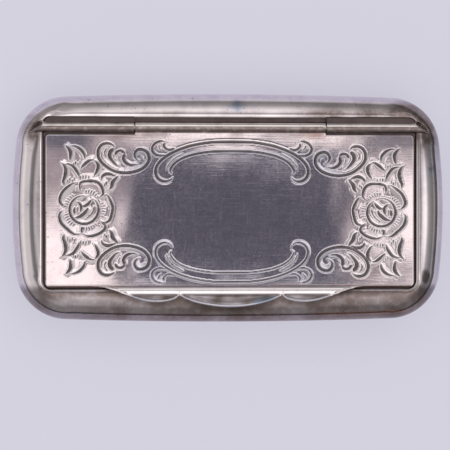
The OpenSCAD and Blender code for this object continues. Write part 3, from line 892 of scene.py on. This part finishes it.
def bracket(x, y, flipY, width):
    # the long double line over or under the plain middle, with a leaf at each end
    for flipX in (1, -1):
        cut = cutterAt(x, y, flipX, flipY)
        cut([(-0.3, 12.8), (4.0, 12.7), (7.5, 12.15), (10.0, 11.4), (12.0, 10.5), (13.6, 9.4), (14.6, 8.2),
             (14.9, 7.0), (14.6, 6.0), (13.9, 5.4), (13.0, 5.2), (12.1, 5.5), (11.6, 6.1)],
            width, 0.7, lop=0.3, taper=(0.0, 0.1))
        cut([(-0.3, 11.0), (4.0, 10.9), (7.5, 10.35), (9.7, 9.6), (11.0, 8.8), (11.8, 7.9), (12.1, 7.1),
             (11.7, 6.6)], width * 0.8, 0.4, lop=0.3, taper=(0.0, 0.1))
        cut([(9.4, 10.7), (11.2, 9.7), (12.4, 8.5), (12.9, 7.2)], 0.1, depth=0.5)
        cut([(10.2, 9.9), (11.6, 8.9), (12.4, 7.8)], 0.08, depth=0.4)
        cut([(13.1, 12.9), (14.0, 13.05), (15.1, 12.6), (15.7, 11.7), (15.5, 10.8), (14.7, 10.2),
             (13.7, 10.1), (12.7, 10.3)], width * 0.85, -0.6, lop=-0.3)
        cut([(13.2, 12.7), (13.4, 12.1), (12.9, 11.5), (12.1, 11.3), (11.2, 11.6)], width * 0.8, -0.4)
        cut([(14.4, 12.3), (14.3, 11.7), (13.8, 11.2)], 0.12, depth=0.6)


for x, y, flipX in engraving["roses"]:
    rose(x, y, flipX)
    spray(x, y, -flipX, 1)
    spray(x, y, -flipX, -1)
for x, y, flipX, flipY in engraving["scrolls"]:
    scroll(x, y, flipX, flipY)
for x, y, flipY, width in engraving["brackets"]:
    bracket(x, y, flipY, width)


def engrave(x, y):
    # height change and darkness at the lid's points
    cut = np.zeros(len(x))
    soft = np.zeros(len(x))
    burr = np.zeros(len(x))
    e = engraving
    for line, width, softWidth, depth, taper, lop in strokes:
        reach = max(width * (1 + abs(lop)) + 3 * e["burrWidth"], abs(softWidth)) + 0.05
        lo, hi = line.min(0) - reach, line.max(0) + reach
        near = np.nonzero((x > lo[0]) & (x < hi[0]) & (y > lo[1]) & (y < hi[1]))[0]
        a, b = line[:-1], line[1:]
        d = b - a
        size = np.maximum((d ** 2).sum(1), 1e-9)
        lengths = np.sqrt(size)
        run = np.concatenate([[0], np.cumsum(lengths)])
        best = np.full(len(near), 1e9)
        signed = np.zeros(len(near))
        along = np.zeros(len(near))
        px, py = x[near], y[near]
        for i in range(len(d)):
            t = np.clip(((px - a[i, 0]) * d[i, 0] + (py - a[i, 1]) * d[i, 1]) / size[i], 0, 1)
            ex, ey = px - a[i, 0] - t * d[i, 0], py - a[i, 1] - t * d[i, 1]
            dist = np.hypot(ex, ey)
            closer = dist < best
            best = np.where(closer, dist, best)
            side = np.sign(d[i, 0] * ey - d[i, 1] * ex)
            signed = np.where(closer, side * dist, signed)
            along = np.where(closer, (run[i] + t * lengths[i]) / run[-1], along)
        swell = np.ones(len(near))
        for share, end in ((along, taper[0]), (1 - along, taper[1])):
            if end:
                swell = swell * np.sqrt(np.clip(share / end, 0.02, 1))
        fade = smoothStep(1 - along, 0, 0.15)
        if taper[0]:
            fade = fade * smoothStep(along, 0, 0.15)
        halfWidth = width * swell * (1 + lop * np.sign(signed))
        u = np.abs(signed) / np.maximum(halfWidth, 1e-6)
        groove = depth * swell * np.clip((1 - u) * 1.9, 0, 1)
        cut[near] = np.maximum(cut[near], groove)
        beyond = np.abs(signed) - halfWidth
        raised = np.exp(-((beyond - 0.04) / e["burrWidth"]) ** 2) * fade * min(1.0, depth * 1.2)
        burr[near] = np.maximum(burr[near], raised)
        if softWidth:
            inside = signed * np.sign(softWidth) > 0
            slope = np.clip(1 - np.abs(signed) / abs(softWidth), 0, 1) ** 1.5 * fade
            soft[near] = np.maximum(soft[near], np.where(inside, slope, 0))
    height = -cut * e["depth"] - soft * e["softDepth"] + burr * e["burr"] * (1 - smoothStep(cut, 0.0, 0.3))
    return height, cut, burr


lidLook = {
    "corner": 0.6,
    "stepX": 0.14,       # over the flowers and scrolls
    "stepPlain": 0.30,   # over the plain middle
    "plainTo": 8.6,
    "stepY": 0.15,
    "edge": 0.10,        # rounding of the edges
    "dents": 0.005,
    "tubeGap": 0.4,      # between the lid's back edge and the tube
}


def spaced(lo, hi, step):
    return list(np.linspace(lo, hi, max(2, int(round((hi - lo) / step)) + 1)))


def makeLid():
    look = lidLook
    halfX = lidHi[0]
    backY = hingeY - tubeR - look["tubeGap"]
    edgeIn = look["edge"]
    right = spaced(0, look["plainTo"], look["stepPlain"])
    right += spaced(look["plainTo"], midHalf, look["stepX"])[1:]
    right += spaced(midHalf, halfX - edgeIn, look["stepX"])[1:]
    xs = np.array([-v for v in right[:0:-1]] + right)
    ys = np.array(spaced(lidFront, backY - edgeIn, look["stepY"]))
    tab = np.array([backY - edgeIn * 0.3, backY + 0.1, backY + 0.25, hingeY - tubeR + 0.06])
    cols, rows = len(xs), len(ys)
    gx, gy = np.meshgrid(xs, ys)
    # round the four corners by pulling the corner of the grid in
    x, y = gx.ravel().copy(), gy.ravel().copy()
    r = look["corner"]
    for sx in (-1, 1):
        for cy, sy in ((lidFront + r, -1), (backY - edgeIn - r, 1)):
            ux = sx * x - (halfX - edgeIn - r)
            uy = sy * (y - cy)
            inCorner = (ux > 0) & (uy > 0)
            big = np.maximum(ux, uy)
            length = np.hypot(ux, uy)
            scale = np.where(inCorner & (length > 0), big / np.maximum(length, 1e-9), 1)
            x = np.where(inCorner, sx * ((halfX - edgeIn - r) + ux * scale), x)
            y = np.where(inCorner, cy + sy * uy * scale, y)
    height, cut, burr = engrave(x, y)
    z = lidTop + height + ripple(x, y, look["dents"], 4.0) * smoothStep(y, lidFront, lidFront + 3)
    points = [np.column_stack([x, y, z])]
    faces = []
    for j in range(rows - 1):
        for i in range(cols - 1):
            a = j * cols + i
            faces.append((a, a + 1, a + cols + 1, a + cols))
    count = rows * cols
    # the middle of the back edge runs on to the tube that it is soldered to
    first = int(np.argmin(np.abs(xs + midHalf)))
    last = int(np.argmin(np.abs(xs - midHalf)))
    width = last - first + 1
    previous = [(rows - 1) * cols + i for i in range(first, last + 1)]
    for v in tab:
        row = np.column_stack([xs[first:last + 1], np.full(width, v), np.full(width, lidTop)])
        row[:, 2] += ripple(row[:, 0], row[:, 1], look["dents"], 4.0)
        points.append(row)
        current = [count + i for i in range(width)]
        count += width
        for i in range(width - 1):
            faces.append((previous[i], previous[i + 1], current[i + 1], current[i]))
        previous = current
    tabRows = len(tab)
    # the loop round the top, then the rounded edge down to a flat underside
    base = rows * cols
    loop = list(range(cols))
    loop += [j * cols + cols - 1 for j in range(1, rows)]
    loop += [(rows - 1) * cols + i for i in range(cols - 2, last - 1, -1)]
    loop += [base + k * width + width - 1 for k in range(tabRows)]
    loop += [base + (tabRows - 1) * width + i for i in range(width - 2, -1, -1)]
    loop += [base + k * width for k in range(tabRows - 2, -1, -1)]
    loop += [(rows - 1) * cols + i for i in range(first, -1, -1)]
    loop += [j * cols for j in range(rows - 2, 0, -1)]
    top = np.vstack(points)
    ring = top[loop]
    following, before = np.roll(ring, -1, axis=0), np.roll(ring, 1, axis=0)
    along = following[:, :2] - before[:, :2]
    along /= np.maximum(np.linalg.norm(along, axis=1), 1e-9)[:, None]
    out = np.column_stack([along[:, 1], -along[:, 0]])
    # no rounding outwards at the front, where the thumbpiece joins, or at the tube
    grow = np.where(ring[:, 1] < lidFront + 0.01, 0.0, 1.0) * np.where(ring[:, 1] > backY + 0.3, 0.0, 1.0)
    n = len(loop)
    previous = loop
    thick = lidTop - lidUnder
    for lower, outBy in ((0.03, 0.07), (edgeIn, edgeIn), (thick - 0.04, edgeIn), (thick, 0.05)):
        level = np.column_stack([ring[:, 0] + out[:, 0] * outBy * grow,
                                 ring[:, 1] + out[:, 1] * outBy * grow, np.full(n, lidTop - lower)])
        level[:, 0] = np.clip(level[:, 0], -halfX, halfX)
        points.append(level)
        current = [count + i for i in range(n)]
        count += n
        for i in range(n):
            j = (i + 1) % n
            faces.append((previous[i], previous[j], current[j], current[i]))
        previous = current
    faces.append(previous[::-1])
    allPoints = np.vstack(points)
    x, y, z = allPoints.T
    extra = len(allPoints) - rows * cols
    cutMark = np.concatenate([cut, np.zeros(extra)])
    burrMark = np.concatenate([burr, np.zeros(extra)])
    slow = ripple(x, y, 0.5, 5.0)
    patinaAndShade = 0.4 * smoothStep(y, 13.2, 14.4) * smoothStep(slow, -0.25, 0.5)
    patinaAndShade += 0.6 * (1 - smoothStep(y, lidFront + 0.05, lidFront + 0.5))
    patinaAndShade += 0.30 * smoothStep(cutMark, 0.0, 0.3)
    patinaAndShade -= 0.3 * burrMark
    patinaAndShade += 0.4 * smoothStep(x, 27, 31) * smoothStep(y, 10.8, 12.2)
    # the plain middle and the two back corners are greyer, a painted reflection of the dark opening and the
    # dark patches overhead
    slateAndShade = 0.9 * band(x, -24, -16, 18, 26) * (1 - smoothStep(y, 10.8, 12.0))
    slateAndShade = np.clip(slateAndShade + 0.9 * smoothStep(np.abs(x) - 1, 26, 29) * smoothStep(y, 11.0, 12.5), 0, 1)
    # a reddish tinge along the hinge and the front edge
    tinge = np.exp(-((x + 22) / 4.5) ** 2) + np.exp(-((x - 17) / 3.0) ** 2)
    ember = 0.35 * smoothStep(y, 12.9, 14.1) * tinge
    ember += 0.5 * (1 - smoothStep(y, lidFront, lidFront + 0.3)) * band(x, 6, 12, 22, 27)
    # the underside is evenly dull
    below = z < lidTop - 0.4
    marks = {"cut": 0.9 * smoothStep(cutMark, 0.05, 0.5),
             "slateAndShade": np.where(below, 0.3, slateAndShade),
             "patinaAndShade": np.where(below, 0.15, np.clip(patinaAndShade, 0, 1)),
             "ember": np.where(below, 0.0, np.clip(ember * (0.6 + slow), 0, 1))}
    return makePiece("lid", allPoints, faces, "lid", lidSilver, ["lid_plate"], marks)


makeLid()

frontRun = openFront + halfW - thumbLook["rimEdge"]      # how far in the front rim comes level


def rimDrop(y):
    # how far below its crest the rim is
    d = max(0, y + halfW)
    if d >= frontRun:
        return 0
    return (crestZ - seamZ) * (1 - math.sqrt(1 - ((frontRun - d) / frontRun) ** 2))


def thumbTop(y):
    # the rounded rib, a groove in front of it, then the lip
    t = thumbLook
    middle = lidFront - t["ribWidth"] / 2
    u = (y - middle) / (t["ribWidth"] / 2)
    lip = crestZ + t["lipTop"] - rimDrop(y)
    if u < -1:
        return lip - t["groove"] * math.exp(-((u + 1) / 0.14) ** 2)
    foot = lidTop if u > 0 else lip - t["groove"]
    return foot + (crestZ + t["ribTop"] - foot) * max(0, 1 - abs(u) ** 2.6) ** 0.55


def thumbUnder(y):
    # under the lid's edge, then over the edge of the opening and along the rim
    t = thumbLook
    start, turn, bevelTop = lidFront - 0.1, openFront + t["lipUnder"], openFront - t["rimEdge"]
    if y > start:
        return lidUnder + 0.1
    if y > turn:
        return lidUnder + 0.1 + (start - y) / (start - turn) * 0.4
    if y > bevelTop:
        return crestZ - 0.5 + (turn - y) / (turn - bevelTop) * (0.5 + t["lipUnder"])
    return crestZ + t["lipUnder"] - rimDrop(y)


def makeThumb():
    t = thumbLook
    ribFront = lidFront - t["ribWidth"]
    fixed = [lidFront - t["ribWidth"] / 2 * (1 - math.cos(math.pi * i / t["ribSteps"]))
             for i in range(t["ribSteps"] + 1)]
    fixed += [ribFront - 0.05, ribFront - 0.11, ribFront - 0.18]
    fixedEnd = fixed[-1]
    xs = []
    for i in range(t["steps"] + 1):
        s = 2 * i / t["steps"] - 1      # closer together towards the ends
        xs.append(t["halfLength"] * (0.25 * math.sin(math.pi / 2 * s) + 0.75 * s))
    points = []
    for x in xs:
        front = min(thumbEdge(x), lidFront - 0.03)
        share = min(1, (front - lidFront) / (fixedEnd - lidFront))
        top = [lidFront + (v - lidFront) * share for v in fixed]
        lipEnd = min(front, top[-1] - 0.001)
        ribEnd = top[-1]
        for i in range(1, t["lipSteps"] + 1):
            top.append(ribEnd + (lipEnd - ribEnd) * math.sin(math.pi / 2 * i / t["lipSteps"]))
        # a raised edge follows the outline, with a hollow behind it
        slope = (thumbEdge(x + 0.05) - thumbEdge(x - 0.05)) / 0.1
        section = []
        for v in top:
            off = (v - front) / math.hypot(1, slope)
            bead = math.exp(-((off - t["beadWidth"]) / t["beadWidth"]) ** 2)
            dip = math.exp(-((off - 0.75) / 0.45) ** 2) * smoothStep(ribFront - v, -0.1, 0.3)
            z = thumbTop(v) + min(1, 6 * share) * (t["bead"] * bead - t["hollow"] * dip)
            section.append((v, min(z, crestZ + t["ribTop"])))
        yEnd, zTop = section[-1]
        zLow = thumbUnder(yEnd)
        thick = zTop - zLow
        section[-1] = (yEnd + 0.05 * share, zTop)
        section += [(yEnd - 0.01, zTop - 0.05), (yEnd - 0.03, zTop - thick * 0.4),
                    (yEnd - 0.01, zLow + thick * 0.15), (yEnd + 0.04 * share, zLow)]
        for i in range(1, t["underSteps"] + 1):
            v = yEnd + (lidFront - yEnd) * i / t["underSteps"]
            section.append((v, thumbUnder(v)))
        for v, z in section:
            points.append((x, v, z))
    k, n = len(section), len(xs)
    faces = ringFaces(n, k) + [list(range(k)), list(range((n - 1) * k, n * k))]
    points = np.array(points)
    x, y, z = points.T
    slow = ripple(x * 1.6, y * 4, 0.5, 6.0)
    edgeLine = np.array([thumbEdge(v) for v in x])
    onLip = smoothStep(ribFront - y, 0.0, 0.2)
    # tarnish and painted shade darken the lip, and painted shade darkens the crease in front of the rib
    patinaAndShade = 0.9 * onLip * (0.85 + 0.4 * slow)
    patinaAndShade += 0.7 * (1 - smoothStep(np.abs(y - ribFront), 0.03, 0.22))
    patinaAndShade += 0.8 * smoothStep(y, lidFront - 0.22, lidFront - 0.02)
    # a painted highlight lightens the lip's raised edge
    patinaAndShade -= 0.9 * (1 - smoothStep(y - edgeLine, 0.25, 0.5))
    bluing = 0.6 * onLip * spot(x, y, (7, -18.3), (3, 1.2), 0.4, 1.2)
    # the lip's soot and slate marks are painted shade and a painted darker reflection
    sootAndShade = np.clip(onLip * (0.42 + 0.5 * slow), 0, 1) * smoothStep(y - edgeLine, 0.3, 0.6)
    return makePiece("thumbpiece.strip", points, faces, "lid", thumbSilver, ["thumbpiece"],
                     {"patinaAndShade": np.clip(patinaAndShade, 0, 1), "slateAndShade": 0.9 * onLip, "bluing": bluing, "sootAndShade": sootAndShade})


makeThumb()

# four parts keep their own shape and are given a finish
for node, material in (("opening_frame", ledgeSilver), ("hinge_gutter", gutterSilver),
                       ("lid_bezel", insideSilver), ("hinge_pin", pinMetal)):
    kept = frame["nodes"][node]
    if not kept.material_slots:
        kept.data.materials.append(material)
    for slot in kept.material_slots:
        slot.material = material
print("finishes given")
